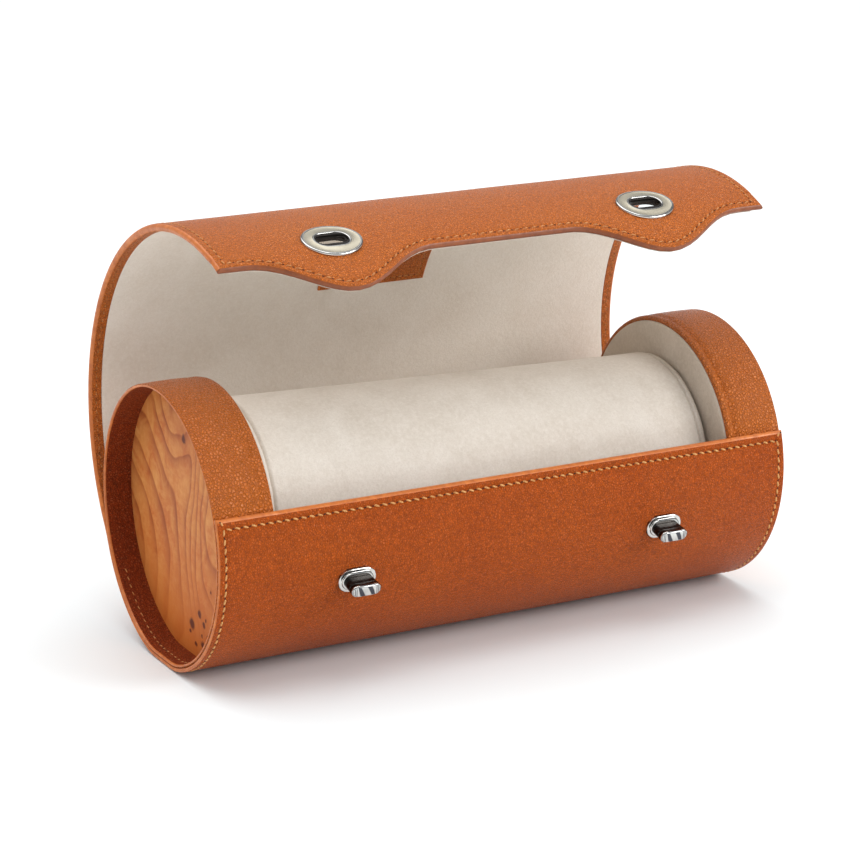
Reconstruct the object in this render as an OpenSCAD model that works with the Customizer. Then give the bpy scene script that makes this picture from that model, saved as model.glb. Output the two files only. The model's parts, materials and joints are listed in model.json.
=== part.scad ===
// Round watch box. The body is a lying cylinder along X that rests on a narrow flat under it.
// A leather flap rises from a root at the back (+Y), goes over the top and laps the front (-Y),
// where two slot plates drop over two turn-locks. A suede pillow lies between the end cheeks.
// The origin is the middle of the resting flat. Lengths are millimetres, angles are degrees.
// An angle round the body is counted from the back (+Y) over the top (+Z) to the front.

/* [Body] */
// Radius of the body over its leather wrap
body_r = 50; // [46:0.5:56]
// Length of the body, end to end
body_len = 221.2; // [216:0.2:260]
// Half width of the flat that the body rests on
flat_half = 9; // [6:0.5:11]
// Thickness of the leather wrap
wrap_t = 1.5; // [1.2:0.1:1.8]
// Thickness of the stiff board behind the wrap
board_t = 1.2; // [1:0.1:1.4]
// Thickness of the suede lining of the body
lining_t = 0.8; // [0.6:0.1:1]
// Angle round the body of the front lip
lip_angle = 161.9; // [155:0.1:165]
// Angle round the body of the flap's root
root_angle = -26; // [-30:0.5:-20]
// Angle that the leather facings take along the lip and the root
facing_angle = 4; // [3:0.5:6]

/* [Cheeks] */
// Depth of a cheek, from the end of the body to its suede face
cheek_depth = 21.9; // [20:0.1:26]
// Depth of the wood disc below the end of the body
recess = 10.2; // [8:0.1:12]
// Thickness of the wood disc
wood_t = 3; // [2:0.1:4]
// Radius of the wood disc and of the cheek's core
core_r = 47.3; // [46:0.1:47.3]
// Radius of the suede disc on the inner face
cheek_suede_r = 46.6; // [44:0.1:47.8]
// Thickness of the suede disc with its card
cheek_suede_t = 1.2; // [0.8:0.1:2]

/* [Flap] */
// Half width of the flap at its root
flap_root_half = 109.4; // [106:0.1:110]
// Half width of the flap at its front edge
flap_tip_half = 104.6; // [102:0.1:109]
// Thickness of the flap's leather
flap_leather_t = 1.2; // [1:0.1:1.4]
// Thickness of the flap's stiffener
flap_stiffener_t = 0.6; // [0.4:0.1:0.8]
// Thickness of the flap's suede lining
flap_lining_t = 0.8; // [0.6:0.1:1]
// Width of the leather border at each side of the suede
border = 4.5; // [4:0.5:12]
// Width of the rolled leather along the front edge
front_roll = 1.6; // [1.2:0.1:3]
// Gap between the flap and the cheeks at the root
root_gap = 0.45; // [0.4:0.05:0.8]
// Distance between two bending lines
chord = 26; // [25:0.1:26.5]
// Radius that each panel is formed to
panel_r = 60; // [58:0.5:66]
// Gap between two panels at a bending line
bend_gap = 0.5; // [0.4:0.05:0.8]
// Heading of the first panel from the horizontal, with the flap open
root_heading = 56.4; // [50:0.1:60]
// Bend at each line with the flap open
open_bend = 20.4; // [18:0.1:22]
// Straight part of the front edge, measured from the middle of the slot plates
edge_drop = 8.4; // [8:0.1:12]
// Depth of the two waves of the front edge
wave_depth = 14.4; // [10:0.1:18]
// Half width of a wave
wave_half = 34; // [28:1:40]

/* [Locks] */
// Distance of a turn-lock from the middle of the body
lock_x = 60.3; // [50:0.1:64]
// Angle round the body of the turn-locks
lock_angle = 194; // [190:0.5:200]
// Length and width of a turn-lock's base
lock_base = [14, 8.7];
// Thickness of the base
lock_base_t = 1.3; // [1:0.1:1.5]
// Length and width of the riser and the knob
lock_bar = [10.9, 3.7];
// Height of the riser over the body
riser_h = 5.35; // [5:0.05:6]
// Thickness of the knob
knob_t = 2.8; // [2:0.1:3.5]
// Diameter of the spindle that the knob turns on
spindle_d = 2.4; // [2:0.1:2.6]
// Length and width of a slot plate
plate = [21.4, 17.4];
// Thickness of a slot plate
plate_t = 1; // [0.8:0.1:1.2]
// Length and width of the slot
slot = [12, 7.4];

/* [Patch] */
// Half width of the label patch inside the flap
patch_half = 21.5; // [15:0.5:30]
// Height of the label patch
patch_h = 15; // [10:0.5:15]
// Thickness of the label patch
patch_t = 1; // [0.8:0.1:1.5]

/* [Pillow] */
// Radius of the watch pillow
pillow_r = 38; // [34:0.5:40]
// Gap between the pillow and each cheek
pillow_gap = 0.4; // [0.3:0.1:1]
// Thickness of the pillow's suede
pillow_suede_t = 1; // [0.8:0.1:1.5]
// Outer radius of the card tube in the foam
tube_r = 16; // [12:0.5:20]
// Wall of the card tube
tube_wall = 1.6; // [1:0.1:3]

/* [Hidden] */
$fn = 96;
SIDES = [["left", -1], ["right", 1]];
PANELS = 8;

LEATHER = "#b5652f";
BAND_LEATHER = "#a85a2a";
SUEDE = "#cfc4b4";
PILLOW_SUEDE = "#d8cfc1";
WOOD = "#d79a5c";
CARD = "#8a7a66";
FOAM = "#e9e4d2";
NICKEL = "#c9c6c0";

axis_z = sqrt(body_r * body_r - flat_half * flat_half);
board_r = body_r - wrap_t;
lining_r = board_r - board_t;
inside_r = lining_r - lining_t;
half_len = body_len / 2;
room_half = half_len - cheek_depth;
core_start = room_half + cheek_suede_t;
wood_end = half_len - recess;
wrap_end_angle = 360 + root_angle;

// The flap's own section: its middle surface passes through the bending lines
flap_t = flap_leather_t + flap_stiffener_t + flap_lining_t;
outer_r = panel_r + flap_t / 2;
leather_r = outer_r - flap_leather_t;
stiffener_r = leather_r - flap_stiffener_t;
inner_r = panel_r - flap_t / 2;
panel_half_angle = asin(chord / 2 / panel_r);
arc_len = 2 * panel_half_angle * PI / 180 * panel_r;
front_start = arc_len / 2 + edge_drop;
flap_reach = (PANELS - 1) * arc_len + front_start;
root_r = board_r + root_gap + flap_t / 2;
sleeve_half = room_half - pillow_gap - pillow_suede_t;

// Turn-lock: its two posts go through the wrap, and its back plate lies in the board
lock_post_d = 1.8;
lock_post_x = 3.9;
post_start = -wrap_t - board_t + 0.1;
post_in_base = 0.3;
base_depth = 1;
bore_gap = 0.05;
knob_lift = 0.1;
knob_grip = 0.5;
collar = [3.9, 0.45];
collar_room = [4.7, 0.8];
collar_z = 0.2;
lock_back = [14, 8];
lock_back_t = board_t / 2;
back_room = 0.3;

// Openings in the flap round a turn-lock, and the plate behind the slot plate
base_hole = [15.2, 9.9];
slot_back = [20, 15];

patch_start = 10;
wave_step = 2;
spare = 1;

function arc_points(r, from, to, steps) =
    [for (i = [0:steps]) r * [cos(from + (to - from) * i / steps), sin(from + (to - from) * i / steps)]];
function heading(k) = root_heading + open_bend * k;
// Bending line k of the open flap, as [y, z] from the body's axis; line 0 is the root
function line_at(k) = k == 0
    ? root_r * [cos(root_angle), sin(root_angle)]
    : line_at(k - 1) + chord * [cos(heading(k - 1)), sin(heading(k - 1))];
function half_at(s) = flap_root_half + (flap_tip_half - flap_root_half) * s / flap_reach;
// Place along a panel's chord of a point at arc length s from its bending line
function chord_at(s) = chord / 2 + panel_r * sin(s / panel_r * 180 / PI - panel_half_angle);
// Arc length of the front edge at x, on the last panel
function edge_at(x) =
    front_start + wave_depth * (1 + cos(180 * min(1, abs(abs(x) - lock_x) / wave_half))) / 2;
function ellipse(size, steps) =
    [for (i = [0:steps - 1]) [size.x / 2 * cos(360 * i / steps), size.y / 2 * sin(360 * i / steps)]];

// ---- shared shapes ----

// Section of a round layer of radius r, with the layer's share of the resting flat
module layer(r) {
    intersection() {
        circle(r);
        translate([-r, body_r - r - axis_z]) square([2 * r, 2 * r]);
    }
}

module wedge(from, to) {
    polygon(concat([[0, 0]], arc_points(2 * body_r, from, to, 12)));
}

// A section in the YZ plane round the body's axis, drawn out along X
module along_x(from, to) {
    translate([from, 0, axis_z]) rotate([90, 0, 90]) linear_extrude(height = to - from) children();
}

// A shell between two layers, from one angle to another
module shell(r_out, r_in, from, to, half) {
    along_x(-half, half) intersection() {
        difference() {
            layer(r_out);
            layer(r_in);
        }
        wedge(from, to);
    }
}

module mirrored(side) {
    if (side > 0) children();
    else mirror([1, 0, 0]) children();
}

module oblong(size) {
    square([size.x - size.y, size.y], center = true);
    for (side = [-1, 1]) translate([side * (size.x - size.y) / 2, 0]) circle(d = size.y);
}

// Local frame of a turn-lock: Z is outwards, and Z = 0 touches the wrap
module at_lock(side) {
    translate([side * lock_x, 0, axis_z]) rotate([lock_angle - 90, 0, 0])
        translate([0, 0, body_r]) children();
}

// A ring round the body's axis, seen from the frame of a turn-lock
module lock_ring(r_out, r_in) {
    translate([-lock_base.x, 0, -body_r]) rotate([90, 0, 90]) linear_extrude(height = 2 * lock_base.x)
        difference() {
            circle(r_out);
            circle(r_in);
        }
}

module lock_posts() {
    for (end = [-1, 1]) translate([end * lock_post_x, 0, post_start])
        cylinder(d = lock_post_d, h = post_in_base - post_start);
}

// Local frame of panel k, counted from 0: Y runs along its chord, Z points to the flap's inside
module at_panel(k) {
    translate([0, line_at(k).x, axis_z + line_at(k).y]) rotate([heading(k), 0, 0]) children();
}

// A curved layer of a panel, from arc length s0 to s1, wider than the flap
module panel_layer(r_out, r_in, s0, s1) {
    per_mm = 180 / PI / panel_r;
    low = 270 - panel_half_angle;
    rotate([90, 0, 90]) linear_extrude(height = 2 * body_len, center = true)
        translate([chord / 2, panel_r * cos(panel_half_angle)]) intersection() {
            difference() {
                circle(r_out);
                circle(r_in);
            }
            wedge(low + s0 * per_mm, low + s1 * per_mm);
        }
}

// Plan of panel k, drawn in at its sides and at the front edge
module panel_plan(k, side_inset, front_inset) {
    w0 = half_at(k * arc_len) - side_inset;
    w1 = half_at((k + 1) * arc_len) - side_inset;
    w2 = flap_tip_half - side_inset;
    steps = ceil(w2 / wave_step);
    front = [for (i = [steps:-1:-steps])
        [w2 * i / steps, chord_at(edge_at(w2 * i / steps) - front_inset)]];
    linear_extrude(height = 2 * chord, center = true)
        if (k < PANELS - 1)
            polygon([[-w0, -spare], [w0, -spare], [w1, chord + spare], [-w1, chord + spare]]);
        else polygon(concat([[-w0, -spare], [w0, -spare]], front));
}

module panel_end(k) {
    s1 = k < PANELS - 1 ? arc_len - bend_gap / 2 : arc_len + front_start;
    intersection() {
        children(0);
        panel_layer(outer_r + spare, inner_r - spare, bend_gap / 2, s1);
    }
}

// Holes for the turn-locks through the last panel
module base_holes(k) {
    if (k == PANELS - 1) for (side = [-1, 1]) translate([side * lock_x, chord / 2, 0])
        linear_extrude(height = chord, center = true) oblong(base_hole);
}

module slot_back_room(k) {
    if (k == PANELS - 1) for (side = [-1, 1]) translate([side * lock_x, chord / 2, 0])
        linear_extrude(height = chord, center = true) polygon(ellipse(slot_back, 60));
}

// ---- body ----

module body_wrap() {
    color(LEATHER) difference() {
        shell(body_r, board_r, lip_angle, wrap_end_angle, half_len);
        for (side = [-1, 1]) at_lock(side) lock_posts();
    }
}

module body_board() {
    color(CARD) difference() {
        shell(board_r, lining_r, lip_angle + facing_angle, wrap_end_angle - facing_angle, room_half);
        for (side = [-1, 1]) at_lock(side) translate([0, 0, -2 * wrap_t - board_t])
            linear_extrude(height = 3 * wrap_t) oblong(lock_back + [2, 2] * back_room);
    }
}

module body_lining() {
    color(SUEDE)
        shell(lining_r, inside_r, lip_angle + facing_angle, wrap_end_angle - facing_angle, room_half);
}

module front_lip_facing() {
    color(LEATHER) shell(board_r, inside_r, lip_angle, lip_angle + facing_angle, room_half);
}

module rear_hinge_strip() {
    color(LEATHER) shell(board_r, inside_r, wrap_end_angle - facing_angle, wrap_end_angle, room_half);
}

// ---- cheeks ----

module cheek_core(side) {
    color(CARD) mirrored(side) along_x(core_start, wood_end - wood_t) layer(core_r);
}

module cheek_band(side) {
    color(BAND_LEATHER) mirrored(side) {
        along_x(core_start, half_len) difference() {
            layer(board_r);
            layer(core_r);
        }
        along_x(room_half, core_start) difference() {
            layer(board_r);
            layer(cheek_suede_r);
        }
    }
}

module wood_disc(side) {
    color(WOOD) mirrored(side) along_x(wood_end - wood_t, wood_end) layer(core_r);
}

module cheek_suede(side) {
    color(SUEDE) mirrored(side) along_x(room_half, core_start) layer(cheek_suede_r);
}

// ---- turn-locks ----

module lock_base(side) {
    color(NICKEL) at_lock(side) {
        difference() {
            union() {
                difference() {
                    translate([0, 0, -base_depth]) linear_extrude(height = base_depth + lock_base_t)
                        oblong(lock_base);
                    lock_ring(body_r, board_r - spare);
                }
                translate([0, 0, lock_base_t]) linear_extrude(height = riser_h - lock_base_t)
                    oblong(lock_bar);
            }
            cylinder(d = spindle_d + 2 * bore_gap, h = 2 * riser_h);
            translate([0, 0, -base_depth]) cylinder(d = collar_room.x, h = base_depth + collar_room.y);
        }
        lock_posts();
    }
}

module lock_back_plate(side) {
    color(NICKEL) at_lock(side) difference() {
        intersection() {
            translate([0, 0, -2 * wrap_t - board_t]) linear_extrude(height = 3 * wrap_t) oblong(lock_back);
            lock_ring(board_r, board_r - lock_back_t);
        }
        lock_posts();
    }
}

module lock_knob(side) {
    color(NICKEL) at_lock(side) {
        translate([0, 0, riser_h + knob_lift]) linear_extrude(height = knob_t) oblong(lock_bar);
        translate([0, 0, collar_z]) cylinder(d = spindle_d, h = riser_h + knob_lift - collar_z + knob_grip);
        translate([0, 0, collar_z]) cylinder(d = collar.x, h = collar.y);
    }
}

// ---- flap ----

module flap_leather(k) {
    color(LEATHER) at_panel(k) panel_end(k) difference() {
        intersection() {
            panel_layer(outer_r, inner_r, 0, 2 * arc_len);
            panel_plan(k, 0, 0);
        }
        intersection() {
            panel_layer(leather_r, inner_r - spare, -spare, 2 * arc_len);
            panel_plan(k, border, front_roll);
        }
        base_holes(k);
    }
}

module flap_stiffener(k) {
    color(CARD) at_panel(k) panel_end(k) difference() {
        intersection() {
            panel_layer(leather_r, stiffener_r, 0, 2 * arc_len);
            panel_plan(k, border, front_roll);
        }
        slot_back_room(k);
    }
}

module flap_lining(k) {
    color(SUEDE) at_panel(k) panel_end(k) difference() {
        intersection() {
            panel_layer(stiffener_r, inner_r, 0, 2 * arc_len);
            panel_plan(k, border, front_roll);
        }
        base_holes(k);
    }
}

module slot_plate(side) {
    color(NICKEL) at_panel(PANELS - 1) difference() {
        intersection() {
            panel_layer(outer_r + plate_t, outer_r, 0, arc_len);
            translate([side * lock_x, chord / 2, -chord]) linear_extrude(height = chord)
                polygon(ellipse(plate, 72));
        }
        translate([side * lock_x, chord / 2, -chord]) linear_extrude(height = chord) oblong(slot);
    }
}

module slot_back_plate(side) {
    color(NICKEL) at_panel(PANELS - 1) difference() {
        intersection() {
            panel_layer(leather_r, stiffener_r, 0, arc_len);
            translate([side * lock_x, chord / 2, -chord]) linear_extrude(height = chord)
                polygon(ellipse(slot_back, 60));
        }
        base_holes(PANELS - 1);
    }
}

module label_patch() {
    color(LEATHER) at_panel(3) intersection() {
        panel_layer(inner_r, inner_r - patch_t, patch_start, patch_start + patch_h);
        translate([0, chord / 2, 0]) cube([2 * patch_half, 2 * chord, 2 * chord], center = true);
    }
}

// ---- pillow ----

module pillow_sleeve() {
    color(PILLOW_SUEDE) along_x(-sleeve_half, sleeve_half) difference() {
        circle(pillow_r);
        circle(pillow_r - pillow_suede_t);
    }
}

module pillow_end(side) {
    color(PILLOW_SUEDE) mirrored(side)
        along_x(sleeve_half, sleeve_half + pillow_suede_t) circle(pillow_r);
}

module pillow_foam() {
    color(FOAM) along_x(-sleeve_half, sleeve_half) difference() {
        circle(pillow_r - pillow_suede_t);
        circle(tube_r);
    }
}

module pillow_tube() {
    color(CARD) along_x(-sleeve_half, sleeve_half) difference() {
        circle(tube_r);
        circle(tube_r - tube_wall);
    }
}

body_wrap();
body_board();
body_lining();
front_lip_facing();
rear_hinge_strip();
for (s = SIDES) {
    cheek_core(s[1]);
    cheek_band(s[1]);
    wood_disc(s[1]);
    cheek_suede(s[1]);
    lock_base(s[1]);
    lock_back_plate(s[1]);
    lock_knob(s[1]);
    slot_plate(s[1]);
    slot_back_plate(s[1]);
    pillow_end(s[1]);
}
label_patch();
pillow_sleeve();
pillow_foam();
pillow_tube();
for (k = [0:PANELS - 1]) {
    flap_leather(k);
    flap_stiffener(k);
    flap_lining(k);
}
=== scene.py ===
"""The looks of the round watch box: leather, suede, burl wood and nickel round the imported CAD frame.
Lengths in the geometry code are millimetres in the row frame, and MM turns them into metres."""

import json
from math import asin, atan2, copysign, cos, degrees, dist, pi, radians, sin, sqrt, tan

import bmesh
import bpy
import numpy as np
from mathutils import Euler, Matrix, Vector, noise

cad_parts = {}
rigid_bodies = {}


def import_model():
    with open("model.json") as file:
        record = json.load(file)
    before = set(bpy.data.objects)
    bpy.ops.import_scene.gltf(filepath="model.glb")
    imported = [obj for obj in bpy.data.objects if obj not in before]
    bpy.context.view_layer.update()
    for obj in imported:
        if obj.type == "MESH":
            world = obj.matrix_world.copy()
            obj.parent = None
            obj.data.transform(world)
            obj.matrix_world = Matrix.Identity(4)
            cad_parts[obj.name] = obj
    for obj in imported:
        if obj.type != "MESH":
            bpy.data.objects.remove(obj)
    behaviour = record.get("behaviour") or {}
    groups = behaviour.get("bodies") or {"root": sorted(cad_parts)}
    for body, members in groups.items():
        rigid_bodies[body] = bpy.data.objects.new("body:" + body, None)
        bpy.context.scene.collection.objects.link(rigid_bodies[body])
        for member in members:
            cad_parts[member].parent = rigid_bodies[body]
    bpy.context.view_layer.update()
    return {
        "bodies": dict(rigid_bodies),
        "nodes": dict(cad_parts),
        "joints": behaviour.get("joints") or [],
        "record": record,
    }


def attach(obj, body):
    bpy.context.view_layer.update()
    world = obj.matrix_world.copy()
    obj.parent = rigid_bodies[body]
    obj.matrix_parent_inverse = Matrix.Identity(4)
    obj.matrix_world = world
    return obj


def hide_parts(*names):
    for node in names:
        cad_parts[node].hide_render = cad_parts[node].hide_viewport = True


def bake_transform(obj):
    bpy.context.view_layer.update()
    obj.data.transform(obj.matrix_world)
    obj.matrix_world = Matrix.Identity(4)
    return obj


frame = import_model()

MM = 0.001

# The same sizes as the CAD source. LIP, ROOT and WRAP_END are angles round the body.
BODY_R, FLAT_HALF, HALF_LEN = 50.0, 9.0, 110.6
AXIS_Z = sqrt(BODY_R**2 - FLAT_HALF**2)
ROOM_HALF = 88.7
WRAP_T, BOARD_R, INSIDE_R, RIM_R = 1.5, 48.5, 46.5, 47.3
LIP, ROOT, FACING, WRAP_END = 161.9, -26.0, 4.0, -33.0
CHORD, PANEL_R, PANELS = 26.0, 60.0, 8
ROOT_HEADING, OPEN_BEND = 56.4, 20.4
ROOT_R = 50.25
FLAP_T, LEATHER_T, BORDER = 2.6, 1.2, 4.5
ROOT_HALF, TIP_HALF = 109.4, 104.6
EDGE_DROP, WAVE_DEPTH, WAVE_HALF = 8.4, 14.4, 34.0
LOCK_X, LOCK_ANGLE = 60.3, 194.0
HALF_ANGLE = asin(CHORD / 2 / PANEL_R)
ARC = 2 * HALF_ANGLE * PANEL_R
REACH = (PANELS - 1) * ARC + ARC / 2 + EDGE_DROP
SAG = PANEL_R * (1 - cos(HALF_ANGLE))
CURVE_R = CHORD / 2 / tan(radians(OPEN_BEND / 2)) + SAG
LOCK_SEAT, LOCK_BAR = (14.0, 8.7), (10.9, 3.7)
PLATE_HALF, PLATE_SLOT, FLAP_HOLE = (10.7, 8.7), (12.0, 7.4), (15.2, 9.9)
SIDES = (("left", -1), ("right", 1))

# How far each row of stitches lies from its edge: lip, body ends, and the flap's sides outside and inside
LIP_SEAM, END_SEAM, FLAP_SEAM, INNER_SEAM = 3.6, 2.5, 3.3, 2.5

# Sizes that are drawn a little differently from the CAD, as the photo shows them
KNOB_WIDE = 4.2
PILLOW_HALF, PILLOW_R, PILLOW_TILT = 86.9, 38.0, 1.8

# Distances from a sheet's edge where its grid has lines, so that edges and seams come out round
EDGE_D = np.array([0, 0.06, 0.2, 0.4, 0.62, 0.9, 1.25, 1.6, 2.0, 2.4, 2.8, 3.2, 3.6, 4.0, 4.4, 4.5, 5.0, 5.6,
                   6.4, 7.6, 9.0])
NARROW_D = EDGE_D[:15]


# ---------- mesh helpers ----------

def ease(a, b, x):
    t = np.clip((np.asarray(x, float) - a) / (b - a), 0, 1)
    return t * t * (3 - 2 * t)


def bell(x, middle, width):
    return np.exp(-(((np.asarray(x, float) - middle) / width) ** 2))


def soft_noise(points, size, seed=0.0):
    """Smooth noise from -1 to 1 at each point, with features about size mm wide."""
    flat = np.asarray(points, float).reshape(-1, 3) / size + seed
    values = np.array([noise.noise(Vector(p)) for p in flat])
    return values.reshape(np.asarray(points).shape[:-1])


def make(name, verts, faces, mats, index=None, sharp=38, merge=2e-6):
    """A mesh object from points in mm. index gives each face's material."""
    me = bpy.data.meshes.new(name)
    me.from_pydata((np.asarray(verts, float) * MM).tolist(), [], faces)
    for m in mats if isinstance(mats, (list, tuple)) else [mats]:
        me.materials.append(m)
    if index is not None:
        me.polygons.foreach_set("material_index", index)
    bm = bmesh.new()
    bm.from_mesh(me)
    if merge:
        bmesh.ops.remove_doubles(bm, verts=bm.verts, dist=merge)
        bmesh.ops.dissolve_degenerate(bm, edges=bm.edges, dist=1e-7)
    bmesh.ops.recalc_face_normals(bm, faces=bm.faces)
    bm.to_mesh(me)
    bm.free()
    me.polygons.foreach_set("use_smooth", [True] * len(me.polygons))
    me.set_sharp_from_angle(angle=radians(sharp))
    ob = bpy.data.objects.new(name, me)
    bpy.context.scene.collection.objects.link(ob)
    return ob


def make_sheet(name, points, normals, top, bottom, mats, edge_paint_and_light=None):
    """A sheet on a grid: its top lies top mm out along the normals and its bottom bottom mm.
    The last argument gives the material of the faces round each grid point: edge paint, and painted highlight
    and painted shade where a caller marks them."""
    nu, nv = top.shape
    verts = np.concatenate([(points + normals * level[..., None]).reshape(-1, 3) for level in (top, bottom)])
    edge_paint_and_light = np.zeros((nu, nv), int) if edge_paint_and_light is None else edge_paint_and_light.astype(int)
    at = lambda i, j, layer: layer * nu * nv + i * nv + j
    faces, index = [], []

    def wall(a, b):
        faces.append((at(*a, 0), at(*b, 0), at(*b, 1), at(*a, 1)))
        index.append(int(edge_paint_and_light[a]))

    for i in range(nu - 1):
        for j in range(nv - 1):
            faces.append((at(i, j, 0), at(i + 1, j, 0), at(i + 1, j + 1, 0), at(i, j + 1, 0)))
            faces.append((at(i, j, 1), at(i, j + 1, 1), at(i + 1, j + 1, 1), at(i + 1, j, 1)))
            index += [int(edge_paint_and_light[i:i + 2, j:j + 2].min())] * 2
    for i in range(nu - 1):
        for j in (0, nv - 1):
            wall((i, j), (i + 1, j))
    for j in range(nv - 1):
        for i in (0, nu - 1):
            wall((i, j), (i, j + 1))
    return make(name, verts, faces, mats, index)


def rounded(d, radius):
    """How far a surface drops at distance d from an edge rounded with that radius."""
    inner = np.clip(radius - np.asarray(d, float), 0, radius)
    return radius - np.sqrt(radius**2 - inner**2)


def across(half, edges, count):
    """Places from -half to half: those in edges at both sides, and count - 2 even ones between."""
    inner = np.linspace(-1, 1, count)[1:-1] * (half - edges[-1])
    return np.concatenate([-(half - edges), inner, (half - edges)[::-1]])


def hermite(t, start, start_slope, end, end_slope):
    """A cubic from start to end with those slopes over t from 0 to 1."""
    return ((2 * t**3 - 3 * t**2 + 1) * start + (t**3 - 2 * t**2 + t) * start_slope
            + (3 * t**2 - 2 * t**3) * end + (t**3 - t**2) * end_slope)


def ring_point(radius, angle):
    """(y, z) on a round layer of the body, whose resting flat runs softly into the round."""
    a = np.radians(np.asarray(angle, float))
    y, z = radius * np.cos(a), radius * np.sin(a)
    if radius < 12:
        return y, z + AXIS_Z
    level = BODY_R - radius - AXIS_Z
    corner = sqrt(radius**2 - level**2)
    near, far = corner - 3.4, corner + 3.4
    end = -sqrt(radius**2 - far**2)
    t = np.clip((np.abs(y) - near) / (far - near), 0, 1)
    soft = hermite(t, level, 0.0, end, (far - near) * far / -end)
    return y, np.where((z < 0) & (np.abs(y) < far), soft, z) + AXIS_Z


def loop_faces(rows, count, start=0, wrap=False):
    """Quads between rows of closed rings of count points. wrap joins the last row to the first."""
    faces = []
    for k in range(rows if wrap else rows - 1):
        low, high = start + k * count, start + (k + 1) % rows * count
        for i in range(count):
            j = (i + 1) % count
            faces.append((low + i, low + j, high + j, high + i))
    return faces


def revolve(name, profile, mats, index=None, steps=200, side=1):
    """A ring round the body's axis from (x, r) points. index marks each profile segment's material."""
    verts = []
    for a in np.linspace(0, 360, steps, endpoint=False):
        for x, r in profile:
            y, z = ring_point(r, a)
            verts.append((side * x, float(y), float(z)))
    faces = loop_faces(steps, len(profile), wrap=True)
    return make(name, verts, faces, mats, index * steps if index else None)


def oblong_line(length, width, steps=14, straight=0):
    """Points round a slot shape with sides along X, each side with some points between its ends."""
    line = []
    reach = (length - width) / 2
    for end in (1, -1):
        for i in range(steps + 1):
            a = radians(-90 + 180 * i / steps) + (0 if end > 0 else pi)
            line.append((end * reach + width / 2 * cos(a), width / 2 * sin(a)))
        for i in range(straight):
            line.append((end * reach * (1 - 2 * (i + 1) / (straight + 1)), end * width / 2))
    return line


def strip_cap(start, count, tip):
    """Faces across a ring that is its own mirror image about its tip point."""
    faces = []
    for m in range(count // 2):
        around = [(tip - m) % count, (tip + m) % count, (tip + m + 1) % count, (tip - m - 1) % count]
        faces.append(tuple(start + i for i in dict.fromkeys(around)))
    return faces


def stack(rings, cap_end=True):
    """Points and faces of a closed form through equally counted rings of 3-D points."""
    n = len(rings[0])
    faces = loop_faces(len(rings), n) + [tuple(range(n))[::-1]]
    if cap_end:
        faces.append(tuple((len(rings) - 1) * n + i for i in range(n)))
    return [p for ring in rings for p in ring], faces


# ---------- materials ----------

def rgba(value):
    """A colour with its alpha, or a socket or number as it is."""
    return (*value, 1) if isinstance(value, tuple) and len(value) == 3 else value


class Nodes:
    """Short calls for building a material's nodes."""

    def __init__(self, name):
        self.mat = bpy.data.materials.new(name)
        self.mat.use_nodes = True
        self.tree = self.mat.node_tree
        self.shader = self.tree.nodes["Principled BSDF"]

    def put(self, socket, value):
        if isinstance(value, bpy.types.NodeSocket):
            self.tree.links.new(value, socket)
        else:
            socket.default_value = value

    def add(self, kind, settings=None, values=(), **inputs):
        """A node with its settings, its first inputs from values, and others by name."""
        node = self.tree.nodes.new(kind)
        for key, value in (settings or {}).items():
            setattr(node, key, value)
        for socket, value in zip(node.inputs, values):
            self.put(socket, value)
        for key, value in inputs.items():
            self.put(node.inputs[key.replace("_", " ")], value)
        return node

    def math(self, op, a, b=0.0, clamp=False):
        return self.add("ShaderNodeMath", {"operation": op, "use_clamp": clamp}, (a, b)).outputs[0]

    def times(self, a, b):
        return self.math("MULTIPLY", a, b)

    def plus(self, a, b):
        return self.math("ADD", a, b)

    def vec(self, op, a, b=(0, 0, 0)):
        node = self.add("ShaderNodeVectorMath", {"operation": op}, (a, b))
        return node.outputs["Value" if op == "LENGTH" else "Vector"]

    def scaled(self, a, k):
        return self.add("ShaderNodeVectorMath", {"operation": "SCALE"}, (a,), Scale=k).outputs["Vector"]

    def noise(self, where, scale, detail=2.0, rough=0.5, distort=0.0, out="Fac"):
        return self.add("ShaderNodeTexNoise", Vector=where, Scale=scale, Detail=detail, Roughness=rough,
                        Distortion=distort).outputs[out]

    def span(self, value, lo, hi, a=0.0, b=1.0, smooth=False):
        kind = {"interpolation_type": "SMOOTHSTEP" if smooth else "LINEAR"}
        return self.add("ShaderNodeMapRange", kind, (value, lo, hi, a, b)).outputs["Result"]

    def mix(self, factor, a, b, mode="MIX"):
        node = self.add("ShaderNodeMix", {"data_type": "RGBA", "blend_type": mode}, (factor,))
        self.put(node.inputs[6], rgba(a))
        self.put(node.inputs[7], rgba(b))
        return node.outputs[2]

    def over(self, tone, colour, value, lo, hi, most=1.0, smooth=False):
        """tone with up to most of colour over it, as value goes from lo to hi."""
        return self.mix(self.span(value, lo, hi, 0.0, most, smooth), tone, colour)

    def where(self, scale=(1, 1, 1), turn=(0, 0, 0)):
        coords = self.add("ShaderNodeTexCoord")
        return self.add("ShaderNodeMapping", Vector=coords.outputs["Object"], Scale=scale,
                        Rotation=tuple(radians(t) for t in turn)).outputs["Vector"]

    def split(self, vector):
        return self.add("ShaderNodeSeparateXYZ", Vector=vector).outputs

    def bump(self, height, mm, strength=1.0):
        node = self.add("ShaderNodeBump", Height=height, Distance=mm * MM, Strength=strength)
        return node.outputs["Normal"]

    def finish(self, **inputs):
        for key, value in inputs.items():
            self.put(self.shader.inputs[key.replace("_", " ")], rgba(value))
        return self.mat


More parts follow.
